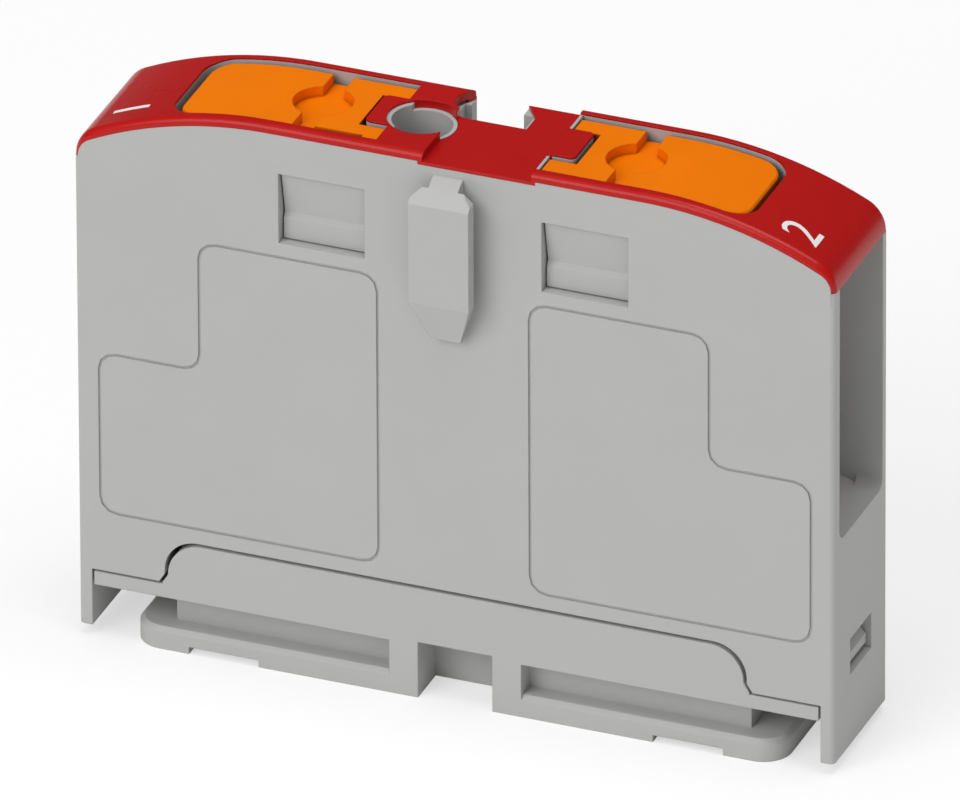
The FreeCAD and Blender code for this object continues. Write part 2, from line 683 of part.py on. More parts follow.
def cover_notch():
    """Notch in the cover over the channel, narrowing to the channel's mouth at the back edge."""
    middle = COUPLING_X + CHANNEL_SHIFT
    x0 = middle - CHANNEL_WIDTH / 2 - NOTCH_LAP
    x1 = middle + CHANNEL_WIDTH / 2 + NOTCH_LAP
    mouth_x0 = COUPLING_X - CHANNEL_MOUTH / 2
    mouth_x1 = COUPLING_X + CHANNEL_MOUTH / 2
    return plan_slab([
        (mouth_x0, HALF + OVERRUN),
        (mouth_x0, HALF),
        (x0, NOTCH_BEVEL_Y),
        (x0, CHANNEL_Y, CHANNEL_ROUND),
        (x1, CHANNEL_Y),
        (x1, NOTCH_BEVEL_Y),
        (mouth_x1, HALF),
        (mouth_x1, HALF + OVERRUN),
    ], 0, FAR)


def collar_seat(inner_x, grow):
    """What the lever frame's collar fills under the cover's thin lip, round one lever."""
    half = COLLAR_HALF + grow
    end = COLLAR_X + grow
    corner = OPENING_ROUND + COLLAR_WALL
    plan = [(inner_x, -half), (end, -half, corner), (end, half, corner), (inner_x, half)]
    return plan_slab(plan, SEAT_Z, FAR).common(under_crown(COVER_LIP, FAR))


def collar_seats(grow):
    """Both seats; the right one starts at the recess, behind the cover's riser to its tongue."""
    right = collar_seat(RECESS_X1, grow).cut(tongue_riser(0))
    left = mirrored(collar_seat(OPENING_X0 - COLLAR_WALL, grow))
    return [right, left]


def tongue_riser(grow):
    """Step by which the cover's middle plate rises to the tongue of the right lever."""
    half = TONGUE_HALF + grow
    return box(RECESS_X1, RECESS_X1 + RECESS_LAP + grow, -half, half, PLATE_Z, FAR)


def lever_frame():
    """Frame under the cover: collars round the levers, their bearings, snap hooks, guards, test tube."""
    deck = box(-OPENING_X0, OPENING_X0, -COLLAR_HALF, COLLAR_HALF, SEAT_Z, TOP_Z - COVER_THICKNESS)
    deck = deck.cut(box(RECESS_X0 - RECESS_LAP, FAR, -FAR, FAR, PLATE_Z, FAR))
    body = fuse(deck, *collar_seats(0))
    tongue = box(OPENING_X0 - OVERRUN, TONGUE_X, -TONGUE_HALF, TONGUE_HALF, TONGUE_Z0, SEAT_Z + OVERRUN)
    body = fuse(body, *both_ends(tongue), *both_ends(entry_guard()))
    for opening in both_ends(lever_opening()):
        body = body.cut(opening)
    body = body.cut(tongue_riser(COVER_GAP))
    tube_length = RECESS_FLOOR_Z - TEST_TUBE_Z
    tube = turned(TEST_RING_RADIUS, tube_length, (TEST_X, TEST_Y, TEST_TUBE_Z), (0, 0, 1))
    body = fuse(body, tube, *snap_hooks())
    body = body.cut(plan_slab(channel_outline(CHANNEL_WALL + FRAME_GAP, FAR), 0, FAR))
    body = body.cut(turned(TEST_BORE_RADIUS, FAR, (TEST_X, TEST_Y, 0), (0, 0, 1)))
    for x, y in peg_places():
        body = body.cut(turned(PEG_RADIUS + PEG_GAP, FAR, (x, y, peg_floor(x)), (0, 0, 1)))
    bearing = turned(TRUNNION_RADIUS + TRUNNION_GAP, FAR, (PIVOT_X, LEVER_ARM_HALF, PIVOT_Z), (0, 1, 0))
    for hole in both_ends(bearing) + both_ends(mirrored_y(bearing)):
        body = body.cut(hole)
    return body


def cover_underside(x):
    return crown_height(x, COVER_THICKNESS) if abs(x) > FLAT_HALF else PLATE_Z


def peg_floor(x):
    """Bottom of a peg hole, a little under the peg's end."""
    return cover_underside(x) - PEG_LENGTH - PEG_END_GAP


def entry_guard():
    """Sloping guard over the conductor entry, hung from the collar's outer end."""
    guard = side_slab([
        (OPENING_X1, GUARD_ROOF_Z),
        (GUARD_ROOF_X, GUARD_ROOF_Z),
        (GUARD_SLOPE_X - GUARD_WALL, GUARD_Z + GUARD_LIP),
        (GUARD_SLOPE_X - GUARD_WALL, GUARD_Z),
        (GUARD_SLOPE_X, GUARD_Z),
        (GUARD_X, GUARD_BEND_Z),
        (GUARD_X, FAR),
        (OPENING_X1, FAR),
    ], -FRAME_HALF, FRAME_HALF)
    return guard.common(under_crown(COVER_THICKNESS + COVER_GAP, FAR))


def snap_hooks():
    """Hooks on both sides whose noses stand in the housing's windows."""
    back = FRAME_HALF - HOOK_PLATE
    ridge = FRAME_HALF + HOOK_LOW_REACH
    ledge_z = SEAT_Z + HOOK_LEDGE
    low_z = WINDOW_Z0 + HOOK_GAP
    top_z = WINDOW_Z1 - HOOK_GAP
    hook = end_slab([
        (-back, low_z),
        (-ridge, low_z),
        (-ridge, HOOK_RIDGE_Z),
        (-ridge + HOOK_STEP, HOOK_STEP_Z),
        (-FRAME_HALF - HOOK_REACH, top_z),
        (-FRAME_HALF, top_z),
        (-FRAME_HALF, SEAT_Z),
        (-COLLAR_HALF, SEAT_Z),
        (-COLLAR_HALF, ledge_z),
        (-back, ledge_z),
    ], WINDOW_X0 + HOOK_GAP, WINDOW_X1 - HOOK_GAP)
    return both_ends(hook) + both_ends(mirrored_y(hook))


def lever():
    """Release lever of the right-hand clamp, hung in the frame by two trunnions beside the tongue."""
    top = under_crown(LEVER_DROP, FAR)
    plan = plan_slab([
        (LEVER_X0, -LEVER_HALF),
        (LEVER_X1, -LEVER_HALF, LEVER_END_ROUND),
        (LEVER_X1, LEVER_HALF, LEVER_END_ROUND),
        (LEVER_X0, LEVER_HALF),
    ], 0, FAR)
    notch_x = TONGUE_X + LEVER_TONGUE_GAP
    notch_half = TONGUE_HALF + LEVER_TONGUE_GAP
    plate = plan.common(top).cut(under_crown(LEVER_DROP + LEVER_PLATE, FAR))
    plate = plate.cut(box(0, notch_x, -notch_half, notch_half, 0, FAR))
    arm = side_slab([
        (LEVER_X0, LEVER_ARM_Z, LEVER_ARM_ROUND),
        (notch_x + OVERRUN, LEVER_ARM_Z),
        (notch_x + OVERRUN, LEVER_ARM_TOP_Z),
        (LEVER_X0, LEVER_ARM_TOP_Z),
    ], notch_half, LEVER_ARM_HALF)
    cheek = lever_cheek(LEVER_HALF - LEVER_CHEEK_INSET)
    body = fuse(plate, arm, mirrored_y(arm), cheek, mirrored_y(cheek), *trunnions())
    body = body.cut(screwdriver_pocket())
    end_z = crown_height(LEVER_X1, LEVER_DROP)
    high_edges = [e for e in body.Edges if e.BoundBox.ZMin > end_z - COLLAR_GAP]
    rim = [e for e in high_edges if abs(e.CenterOfMass.y) > LEVER_HALF - COVER_GAP
           and e.BoundBox.XLength > LEVER_END_ROUND]
    return body.makeChamfer(LEVER_EDGE, rim)


def spring_line():
    """Where the free leg of the clamp spring starts and ends, along the middle of the sheet."""
    centre = Vector(SPRING_BEND_X, 0, spring_floor() + SPRING_BEND_RADIUS)
    tip = Vector(SPRING_TIP_X, 0, BUSBAR_Z - SPRING_GAP - SPRING_SHEET)
    reach = tip - centre
    turn = math.atan2(reach.z, reach.x) - math.acos(SPRING_BEND_RADIUS / reach.Length)
    start = centre + Vector(math.cos(turn), 0, math.sin(turn)) * SPRING_BEND_RADIUS
    return centre, start, tip, turn


def spring_floor():
    """Middle of the spring sheet where it lies on the cage."""
    return CHAMBER_FLOOR_Z + CAGE_SHEET + SPRING_SHEET / 2


def toe_height(x):
    """Height over the free leg at x at which a finger's toe rests."""
    centre, start, tip, turn = spring_line()
    slope = (tip.z - start.z) / (tip.x - start.x)
    skin = SPRING_SHEET / 2 / math.cos(math.atan(slope))
    return tip.z + (x - tip.x) * slope + skin + FINGER_GAP


def lever_cheek(outer_y):
    """One side rib of a lever, with the finger that pushes the spring's free leg."""
    toe_x0 = FINGER_TOE_X - FINGER_TOE
    toe_x1 = FINGER_TOE_X + FINGER_TOE
    return side_slab([
        (CHEEK_X0, TOP_Z - LEVER_DROP - CHEEK_ROOT),
        (CHEEK_X0, CHEEK_Z1),
        (FINGER_X0, CHEEK_Z0),
        (toe_x0, toe_height(toe_x0) + FINGER_HEEL, FINGER_ROUND),
        (toe_x1, toe_height(toe_x1), FINGER_ROUND),
        (FINGER_X1, CHEEK_Z0),
        (CHEEK_X1, CHEEK_Z1),
        (CHEEK_X1, crown_height(CHEEK_X1, LEVER_DROP) - CHEEK_ROOT),
    ], outer_y - LEVER_CHEEK, outer_y)


def trunnions():
    """Round studs on the lever's arms that turn in the frame's bearings."""
    root_y = LEVER_ARM_HALF - JOIN
    length = COLLAR_HALF - TRUNNION_END_GAP - root_y
    pin = turned(TRUNNION_RADIUS, length, (PIVOT_X, root_y, PIVOT_Z), (0, 1, 0))
    return [pin, mirrored_y(pin)]


def screwdriver_pocket():
    """Round pocket with a slot across the lever, for the blade that presses it."""
    floor_z = TOP_Z - LEVER_DROP - POCKET_DEPTH
    pocket = turned(POCKET_RADIUS, FAR, (POCKET_X, 0, floor_z), (0, 0, 1))
    slot = box(POCKET_X - SLOT_WIDTH / 2, POCKET_X + SLOT_WIDTH / 2, -FAR, FAR, floor_z, FAR)
    return pocket.fuse(slot)


def left_lever():
    """The mirror image, with a small relief along the front edge."""
    relief = box(-RELIEF_X1, -RELIEF_X0, -LEVER_HALF, -LEVER_HALF + RELIEF_DEPTH,
                 TOP_Z - LEVER_DROP - RELIEF_HEIGHT, FAR)
    return mirrored(lever()).cut(relief)


def busbar():
    """Copper bar over both conductors, waisted beside the lever fingers, with ridges at each clamp."""
    narrow, wide = BUSBAR_NARROW_HALF, BUSBAR_WIDE_HALF
    half = [
        (BUSBAR_WIDE_X, -wide, BUSBAR_STEP_ROUND),
        (BUSBAR_WIDE_X + BUSBAR_TAPER, -narrow, BUSBAR_STEP_ROUND),
        (BUSBAR_HALF_LENGTH, -narrow, BUSBAR_END_ROUND),
        (BUSBAR_HALF_LENGTH, narrow, BUSBAR_END_ROUND),
        (BUSBAR_WIDE_X + BUSBAR_TAPER, narrow, BUSBAR_STEP_ROUND),
        (BUSBAR_WIDE_X, wide, BUSBAR_STEP_ROUND),
    ]
    plan = half + [(-x, -y, r) for x, y, r in half]
    bar = plan_slab(plan, BUSBAR_Z, BUSBAR_TOP_Z)
    bar = bar.cut(turned(SHANK_RADIUS + SHANK_GAP, FAR, (TEST_X, TEST_Y, 0), (0, 0, 1)))
    for i in range(RIDGE_COUNT):
        x = RIDGE_X + i * RIDGE_PITCH
        groove = side_slab([
            (x - RIDGE_HEIGHT, BUSBAR_Z),
            (x, BUSBAR_Z + RIDGE_HEIGHT),
            (x + RIDGE_HEIGHT, BUSBAR_Z),
        ], -wide, wide)
        bar = bar.cut(groove).cut(mirrored(groove))
    return bar


def clamp_cage():
    """Bent steel strip that closes the clamp's force between the spring and the busbar."""
    floor_z = CHAMBER_FLOOR_Z
    top_z = BUSBAR_TOP_Z + CAGE_HEAD
    outer = CAGE_SHEET + CAGE_ROUND
    strip = side_slab([
        (CAGE_X0, floor_z, outer),
        (CAGE_X1, floor_z, outer),
        (CAGE_X1, floor_z + CAGE_SHEET + CAGE_LIP),
        (CAGE_X1 - CAGE_SHEET, floor_z + CAGE_SHEET + CAGE_LIP),
        (CAGE_X1 - CAGE_SHEET, floor_z + CAGE_SHEET, CAGE_ROUND),
        (CAGE_X0 + CAGE_SHEET, floor_z + CAGE_SHEET, CAGE_ROUND),
        (CAGE_X0 + CAGE_SHEET, top_z),
        (CAGE_X0, top_z),
    ], -CAGE_HALF, CAGE_HALF)
    half = BUSBAR_NARROW_HALF + CAGE_GAP
    window = box(0, FAR, -half, half, BUSBAR_Z - CAGE_GAP, BUSBAR_TOP_Z + CAGE_GAP)
    return strip.cut(window)


def clamp_spring():
    """Leaf spring: a leg on the cage, one bend, and a free leg that presses up at the busbar."""
    centre, start, tip, turn = spring_line()
    thick = SPRING_SHEET / 2
    outer, inner = SPRING_BEND_RADIUS + thick, SPRING_BEND_RADIUS - thick
    low = centre + Vector(0, 0, -SPRING_BEND_RADIUS)
    fixed_x = CAGE_X0 + CAGE_SHEET + SPRING_INSET
    middle_turn = (turn - math.pi / 2) / 2
    outward = Vector(math.cos(turn), 0, math.sin(turn)) * thick
    apex = Vector(math.cos(middle_turn), 0, math.sin(middle_turn))
    down = Vector(0, 0, thick)
    edges = [
        Part.makeLine(Vector(fixed_x, 0, low.z - thick), low - down),
        Part.Arc(low - down, centre + apex * outer, start + outward).toShape(),
        Part.makeLine(start + outward, tip + outward),
        Part.makeLine(tip + outward, tip - outward),
        Part.makeLine(tip - outward, start - outward),
        Part.Arc(start - outward, centre + apex * inner, low + down).toShape(),
        Part.makeLine(low + down, Vector(fixed_x, 0, low.z + thick)),
        Part.makeLine(Vector(fixed_x, 0, low.z + thick), Vector(fixed_x, 0, low.z - thick)),
    ]
    face = Part.Face(Part.Wire(edges))
    face.translate(Vector(0, -SPRING_HALF, 0))
    return face.extrude(Vector(0, 2 * SPRING_HALF, 0))


def test_socket():
    """Slotted brass sleeve on the busbar for a 4 mm test plug."""
    base = (TEST_X, TEST_Y, BUSBAR_TOP_Z)
    sleeve = turned(SOCKET_BORE_RADIUS + SOCKET_WALL, SOCKET_TOP_Z - BUSBAR_TOP_Z, base, (0, 0, 1))
    shank = turned(SHANK_RADIUS, SHANK_LENGTH, (TEST_X, TEST_Y, BUSBAR_TOP_Z - SHANK_LENGTH), (0, 0, 1))
    bore = turned(SOCKET_BORE_RADIUS, FAR, (TEST_X, TEST_Y, BUSBAR_TOP_Z + SOCKET_FLOOR), (0, 0, 1))
    body = fuse(sleeve, shank).cut(bore)
    slit_z = BUSBAR_TOP_Z + SOCKET_SLIT_RISE
    across = box(TEST_X - SOCKET_SLIT / 2, TEST_X + SOCKET_SLIT / 2, -FAR, FAR, slit_z, FAR)
    along = box(-FAR, FAR, TEST_Y - SOCKET_SLIT / 2, TEST_Y + SOCKET_SLIT / 2, slit_z, FAR)
    return body.cut(across).cut(along)


def rail_foot():
    """Moulded foot: hump in the housing, strip along its lower edge, web and tray for the rail."""
    hump = side_slab(hump_outline(0), -HALF, HALF)
    hump = hump.cut(box(-FAR, FAR, -FAR, FAR, 0, STRIP_Z1 - JOIN))
    strip = box(-STRIP_HALF, STRIP_HALF, -HALF, HALF, STRIP_Z0, STRIP_Z1)
    web = box(-WEB_HALF, WEB_HALF, -HALF + WEB_INSET, HALF - WEB_INSET, TRAY_TOP_Z - JOIN, STRIP_Z0 + JOIN)
    post = box(POST_X0, POST_X1, -HALF, HALF, POST_Z0, STRIP_Z0 + JOIN)
    body = fuse(hump, strip, web, rail_tray(), *both_ends(post))
    gate = box(-POST_X0, POST_X0, -FAR, -HALF + GATE_DEPTH, -OVERRUN, GATE_Z)
    body = body.cut(gate).cut(mirrored_y(gate))
    pocket_x = WEB_HALF - FOOT_HUMP_RADIUS
    pocket = box(-pocket_x, pocket_x, -HALF + FOOT_WALL, HALF - FOOT_WALL, FOOT_POCKET_Z, FAR)
    body = body.cut(pocket)
    rib = box(-FOOT_RIB_WALL / 2, FOOT_RIB_WALL / 2, -HALF + FOOT_WALL - JOIN, HALF - FOOT_WALL + JOIN,
              FOOT_POCKET_Z - JOIN, FOOT_RIB_Z)
    ribs = [rib.translated(Vector(i * FOOT_RIB_PITCH, 0, 0)) for i in (-1, 0, 1)]
    return fuse(body, *ribs, *both_ends(foot_latch()))


def rail_tray():
    """Lower plate with rounded ends, bevelled upper edge and the notches over the rail's flanges."""
    tray = plan_slab([
        (-TRAY_HALF, -HALF, TRAY_ROUND),
        (TRAY_HALF, -HALF, TRAY_ROUND),
        (TRAY_HALF, HALF, TRAY_ROUND),
        (-TRAY_HALF, HALF, TRAY_ROUND),
    ], 0, TRAY_TOP_Z)
    rim = [e for e in tray.Edges if e.BoundBox.ZMin > TRAY_TOP_Z - 1e-4]
    tray = tray.makeChamfer(TRAY_EDGE, rim)
    notch = box(RAIL_X0, RAIL_X1, -FAR, FAR, -OVERRUN, RAIL_NOTCH)
    return tray.cut(notch).cut(mirrored(notch))


def foot_latch():
    """Springy arm at the strip's end whose nose stands in the housing's end window."""
    arm_x = LATCH_X0 + LATCH_ARM
    return side_slab([
        (LATCH_X0, STRIP_Z1 - JOIN),
        (arm_x, STRIP_Z1 - JOIN),
        (arm_x, LATCH_HEEL_Z),
        (arm_x + LATCH_REACH, LATCH_NOSE_Z),
        (arm_x + LATCH_REACH, LATCH_NOSE_Z + LATCH_NOSE_FACE),
        (arm_x + LATCH_HEAD, LATCH_TOP_Z),
        (LATCH_X0, LATCH_TOP_Z),
    ], -LATCH_HALF, LATCH_HALF)


def main():
    parts = {
        "housing": housing(),
        "top_cover": top_cover(),
        "lever_frame": lever_frame(),
        "rail_foot": rail_foot(),
        "lever_right": lever(),
        "lever_left": left_lever(),
        "busbar": busbar(),
        "test_socket": test_socket(),
    }
    for name, shape in (("clamp_cage", clamp_cage()), ("clamp_spring", clamp_spring())):
        parts[name + "_right"] = shape
        parts[name + "_left"] = mirrored(shape)
    for name, shape in parts.items():
        print(name, len(shape.Solids), shape.isValid(), round(shape.Volume, 2), shape.BoundBox)
        shape.exportStep(f"parts/{name}.step")


main()
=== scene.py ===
"""Dresses the distribution block: moulded plastics, metal inside, port numbers, studio and camera.

Metres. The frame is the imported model's own: +X along the block, -Y out of the shown face, +Z up.
"""
import math

import bpy
from bpy.props import FloatProperty, FloatVectorProperty, PointerProperty
from mathutils import Matrix, Vector


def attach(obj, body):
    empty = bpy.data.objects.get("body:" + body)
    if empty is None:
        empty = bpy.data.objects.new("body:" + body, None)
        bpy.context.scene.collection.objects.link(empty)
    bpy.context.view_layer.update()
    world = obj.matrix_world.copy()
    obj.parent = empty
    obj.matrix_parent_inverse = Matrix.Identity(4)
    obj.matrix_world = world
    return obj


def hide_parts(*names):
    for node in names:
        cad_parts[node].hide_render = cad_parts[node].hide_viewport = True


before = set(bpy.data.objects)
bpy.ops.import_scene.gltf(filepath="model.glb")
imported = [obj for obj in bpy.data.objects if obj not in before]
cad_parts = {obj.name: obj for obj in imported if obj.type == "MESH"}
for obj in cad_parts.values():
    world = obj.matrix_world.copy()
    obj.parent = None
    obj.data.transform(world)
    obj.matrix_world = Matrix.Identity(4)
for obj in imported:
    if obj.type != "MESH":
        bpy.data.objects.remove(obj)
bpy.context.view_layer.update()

bl_info = {
    "name": "Distribution Block",
    "version": (1, 0, 0),
    "blender": (4, 5, 0),
    "location": "3D View > Sidebar > Block",
    "description": "Finishes a rail-mounted distribution block and sets its studio",
    "category": "Object",
}

MM = 0.001

LEVERS = ("lever_right", "lever_left")
STEEL_NODES = ("clamp_cage_right", "clamp_cage_left", "clamp_spring_right", "clamp_spring_left")

# Crown of the red cover, from the model
CROWN_FLAT = 16.5 * MM                 # half length of the flat middle
CROWN_RADIUS = 35.75 * MM
CROWN_TOP = 51.2 * MM

# Coupling key, from the model
KEY_BEND_Z = 38.5 * MM                 # where its face turns into the lower facet
KEY_TIP_Z = 34.6 * MM                  # where that facet ends
KEY_TIP_FRONT = -7.55 * MM             # the tip's two edges lie between these depths
KEY_TIP_BACK = -7.25 * MM

# Levers, from the model
LEVER_END = 22.7 * MM                  # where the rounded end starts
LEVER_TIP = 25.2 * MM

# Copies of the model's meshes
MERGE = 0.001 * MM                     # vertices closer than this are one
SAME_HEIGHT = 0.01 * MM                # heights closer than this are the same
SMOOTH_BELOW = math.radians(30)        # edges flatter than this are shaded smooth

# Printed figures
PRINT_CUTS = 12                        # strips that each figure is cut into to follow the crown
PRINT_CURVE = 8                        # steps to each curve of a figure's outline
INK_GRAIN = 0.1 * MM
INK_DEPTH = 0.002 * MM

# Finishes
CLOUD_SCALE = 140.0                    # clouds of the plastics' colour to a metre
CLOUD_RANGE = (0.3, 0.7)               # noise values at which the clouds are darkest and lightest
RUBBED = 0.05                          # how far rubbed patches change the plastics' roughness
MOTTLE_SCALE = 400.0                   # spots of the metals' brightness to a metre
MOTTLE = (0.85, 1.12)                  # brightness of the dull and the bright spots
ROLLED = 0.12                          # how far the rolling lines change the metals' roughness
ROLLING_STRETCH = (0.06, 1.0, 0.06)    # the rolling lines run along X and Z
EVEN_CLOUD = 0.012                     # how far the grey plastic's colour strays
DEEP_CLOUD = 0.03                      # the same of the red and the orange
GREY_SHINE = 0.25                      # specular levels
RED_SHINE = 0.28
ORANGE_SHINE = 0.06
FRAME_GAP_SHADE = (0.08, 0.25)              # openness at which a gap's painted shade is darkest, and at which the gap keeps its full colour
LEVER_GAP_SHADE = (0.25, 0.6)
DARKEST_GAP_SHADE = 0.03                         # share of the colour that the darkest painted gap shade keeps

# Stage
AIM = Vector((-0.09 * MM, 0, 25.57 * MM))
KEY_LAMP_PLACE = Vector((-0.55, -1.3, 1.05))
KEY_LAMP_SIZE = 1.3
TOP_LAMP_PLACE = Vector((0.15, -0.1, 1.4))
TOP_LAMP_SIZE = 0.9
FLOOR_SIZE = 4.0
FLOOR_WHITE = 0.95
FLOOR_GLOW = 1.1                       # brightness mixed into the floor for the camera alone
FLOOR_GLOW_SHARE = 0.5
SENSOR_WIDTH = 36.0                    # millimetres, as the lens
VIEW_DEPTH = 20.0


def colour_property(name, description, default):
    return FloatVectorProperty(name=name, description=description, default=default, size=3, subtype="COLOR",
                               min=0.0, max=1.0)


def length_property(name, description, default):
    return FloatProperty(name=name, description=description, default=default, subtype="DISTANCE",
                         unit="LENGTH", precision=5)


def angle_property(name, description, default):
    return FloatProperty(name=name, description=description, default=default, subtype="ANGLE")


def number_property(name, description, default):
    return FloatProperty(name=name, description=description, default=default)


class BlockPlastics(bpy.types.PropertyGroup):
    grey: colour_property("Grey", "Colour of the housing, frame and foot", (0.474, 0.474, 0.462))
    red: colour_property("Red", "Colour of the cover", (0.475, 0.006, 0.005))
    orange: colour_property("Orange", "Colour of the levers", (0.9, 0.2, 0.0))
    grain: length_property("Grain", "Size of the eroded grain on moulded faces", 0.22 * MM)
    grain_depth: length_property("Grain depth", "Height of that grain", 0.003 * MM)
    roughness: number_property("Roughness", "Roughness of the moulded faces", 0.48)
    red_roughness: number_property("Cover roughness", "Roughness of the cover, which is glossier", 0.28)
    edge: length_property("Edge", "Radius that softens every moulded edge", 0.14 * MM)
    # gaps narrower than this width get shade painted into their colour
    shade_crevice: length_property("Crevice", "Width of the gaps that fall dark round the levers", 1.1 * MM)
    key_tip: length_property("Key tip", "Depth at which the key's lower facet ends", -6.9 * MM)
    tip_gap: length_property("Tip gap", "How far each lever's end is drawn in", 0.16 * MM)


class BlockMetals(bpy.types.PropertyGroup):
    tin: colour_property("Tin", "Colour of the tinned bar", (0.62, 0.61, 0.58))
    tin_roughness: number_property("Tin roughness", "Roughness of the tinned bar", 0.34)
    brass: colour_property("Brass", "Colour of the test socket", (0.72, 0.5, 0.2))
    brass_roughness: number_property("Brass roughness", "Roughness of the test socket", 0.3)
    steel: colour_property("Steel", "Colour of the clamps", (0.42, 0.42, 0.43))
    steel_roughness: number_property("Steel roughness", "Roughness of the clamps", 0.38)
    line_width: length_property("Rolling lines", "Width of the rolling lines", 0.12 * MM)
    line_depth: length_property("Line depth", "Height of the lines on tin and brass", 0.002 * MM)
    steel_line_depth: length_property("Steel line depth", "Height of the lines on the clamps", 0.003 * MM)


class BlockMarks(bpy.types.PropertyGroup):
    ink: colour_property("Ink", "Colour of the port numbers", (0.9, 0.9, 0.89))
    roughness: number_property("Roughness", "Roughness of the ink", 0.5)
    height: length_property("Height", "Height of a port number", 3.2 * MM)
    along: length_property("Along", "Distance of each number from the middle of the block", 29.5 * MM)
    across: length_property("Across", "Distance of each number from the middle towards the front", 3.2 * MM)
    thickness: length_property("Thickness", "How far the print stands on the cover", 0.02 * MM)


class BlockStage(bpy.types.PropertyGroup):
    azimuth: angle_property("Azimuth", "Camera's turn round the block from the front", math.radians(21.6))
    elevation: angle_property("Elevation", "Camera's height angle", math.radians(28.86))
    roll: angle_property("Roll", "Camera's turn about its own line of sight", -0.0045)
    distance: length_property("Distance", "Camera to block", 2.615)
    lens: number_property("Lens", "Focal length in millimetres on a 36 mm sensor", 1190.6)
    key_power: number_property("Key power", "Power of the large front lamp in watts", 14.5)
    top_power: number_property("Top power", "Power of the lamp over the block in watts", 8.0)
    sky: number_property("Sky", "Strength of the even light from all round", 0.32)
    sky_gloss: number_property("Sky in reflections", "Strength with which it shows in glossy faces", 0.08)


# Shared effects

def group(name, inputs, outputs):
    """Empty node group with named sockets, given as (name, socket type, default)."""
    tree = bpy.data.node_groups.new(name, "ShaderNodeTree")
    for label, kind, default in inputs:
        tree.interface.new_socket(name=label, in_out="INPUT", socket_type=kind).default_value = default
    for label, kind in outputs:
        tree.interface.new_socket(name=label, in_out="OUTPUT", socket_type=kind)
    return tree, tree.nodes.new("NodeGroupInput"), tree.nodes.new("NodeGroupOutput")


def node(tree, kind, **settings):
    """New node; a setting is an attribute, or else a socket's name with underscores for its spaces."""
    made = tree.nodes.new(kind)
    for key, value in settings.items():
        if hasattr(made, key):
            setattr(made, key, value)
        else:
            made.inputs[key.replace("_", " ")].default_value = value
    return made


def one_and(tree, operation, value):
    """Math node that takes 1 and a value given by a link."""
    math_node = node(tree, "ShaderNodeMath", operation=operation)
    math_node.inputs[0].default_value = 1.0
    tree.links.new(value, math_node.inputs[1])
    return math_node.outputs[0]


def scaled(tree, colour, factor):
    tint = node(tree, "ShaderNodeVectorMath", operation="SCALE")
    tree.links.new(colour, tint.inputs[0])
    tree.links.new(factor, tint.inputs["Scale"])
    return tint.outputs[0]


def strayed(tree, value, pattern, most):
    """The value, changed up or down by at most so much along a pattern, and kept between 0 and 1."""
    stray = node(tree, "ShaderNodeMapRange", To_Min=-most, To_Max=most)
    tree.links.new(pattern, stray.inputs["Value"])
    total = node(tree, "ShaderNodeMath", operation="ADD", use_clamp=True)
    tree.links.new(value, total.inputs[0])
    tree.links.new(stray.outputs["Result"], total.inputs[1])
    return total.outputs[0]


def moulded_skin():
    """Eroded grain, a faint cloudiness of the colour and soft rubbed patches of moulded plastic."""
    tree, inside, outside = group("Moulded skin", [
        ("Colour", "NodeSocketColor", (0.5, 0.5, 0.5, 1.0)),
        ("Grain", "NodeSocketFloat", 0.22 * MM),
        ("Cloud", "NodeSocketFloat", 0.02),
        ("Roughness", "NodeSocketFloat", 0.45),
    ], [("Colour", "NodeSocketColor"), ("Roughness", "NodeSocketFloat"), ("Height", "NodeSocketFloat")])
    link = tree.links.new
    place = node(tree, "ShaderNodeTexCoord")
    pits = node(tree, "ShaderNodeTexNoise", Detail=2.0, Roughness=0.6)
    link(place.outputs["Object"], pits.inputs["Vector"])
    link(one_and(tree, "DIVIDE", inside.outputs["Grain"]), pits.inputs["Scale"])
    clouds = node(tree, "ShaderNodeTexNoise", Scale=CLOUD_SCALE, Detail=3.0, Roughness=0.55)
    link(place.outputs["Object"], clouds.inputs["Vector"])
    shade = node(tree, "ShaderNodeMapRange", From_Min=CLOUD_RANGE[0], From_Max=CLOUD_RANGE[1])
    link(clouds.outputs["Fac"], shade.inputs["Value"])
    link(one_and(tree, "SUBTRACT", inside.outputs["Cloud"]), shade.inputs["To Min"])
    link(one_and(tree, "ADD", inside.outputs["Cloud"]), shade.inputs["To Max"])
    link(scaled(tree, inside.outputs["Colour"], shade.outputs["Result"]), outside.inputs["Colour"])
    rubbed = strayed(tree, inside.outputs["Roughness"], clouds.outputs["Fac"], RUBBED)
    link(rubbed, outside.inputs["Roughness"])
    link(pits.outputs["Fac"], outside.inputs["Height"])
    return tree


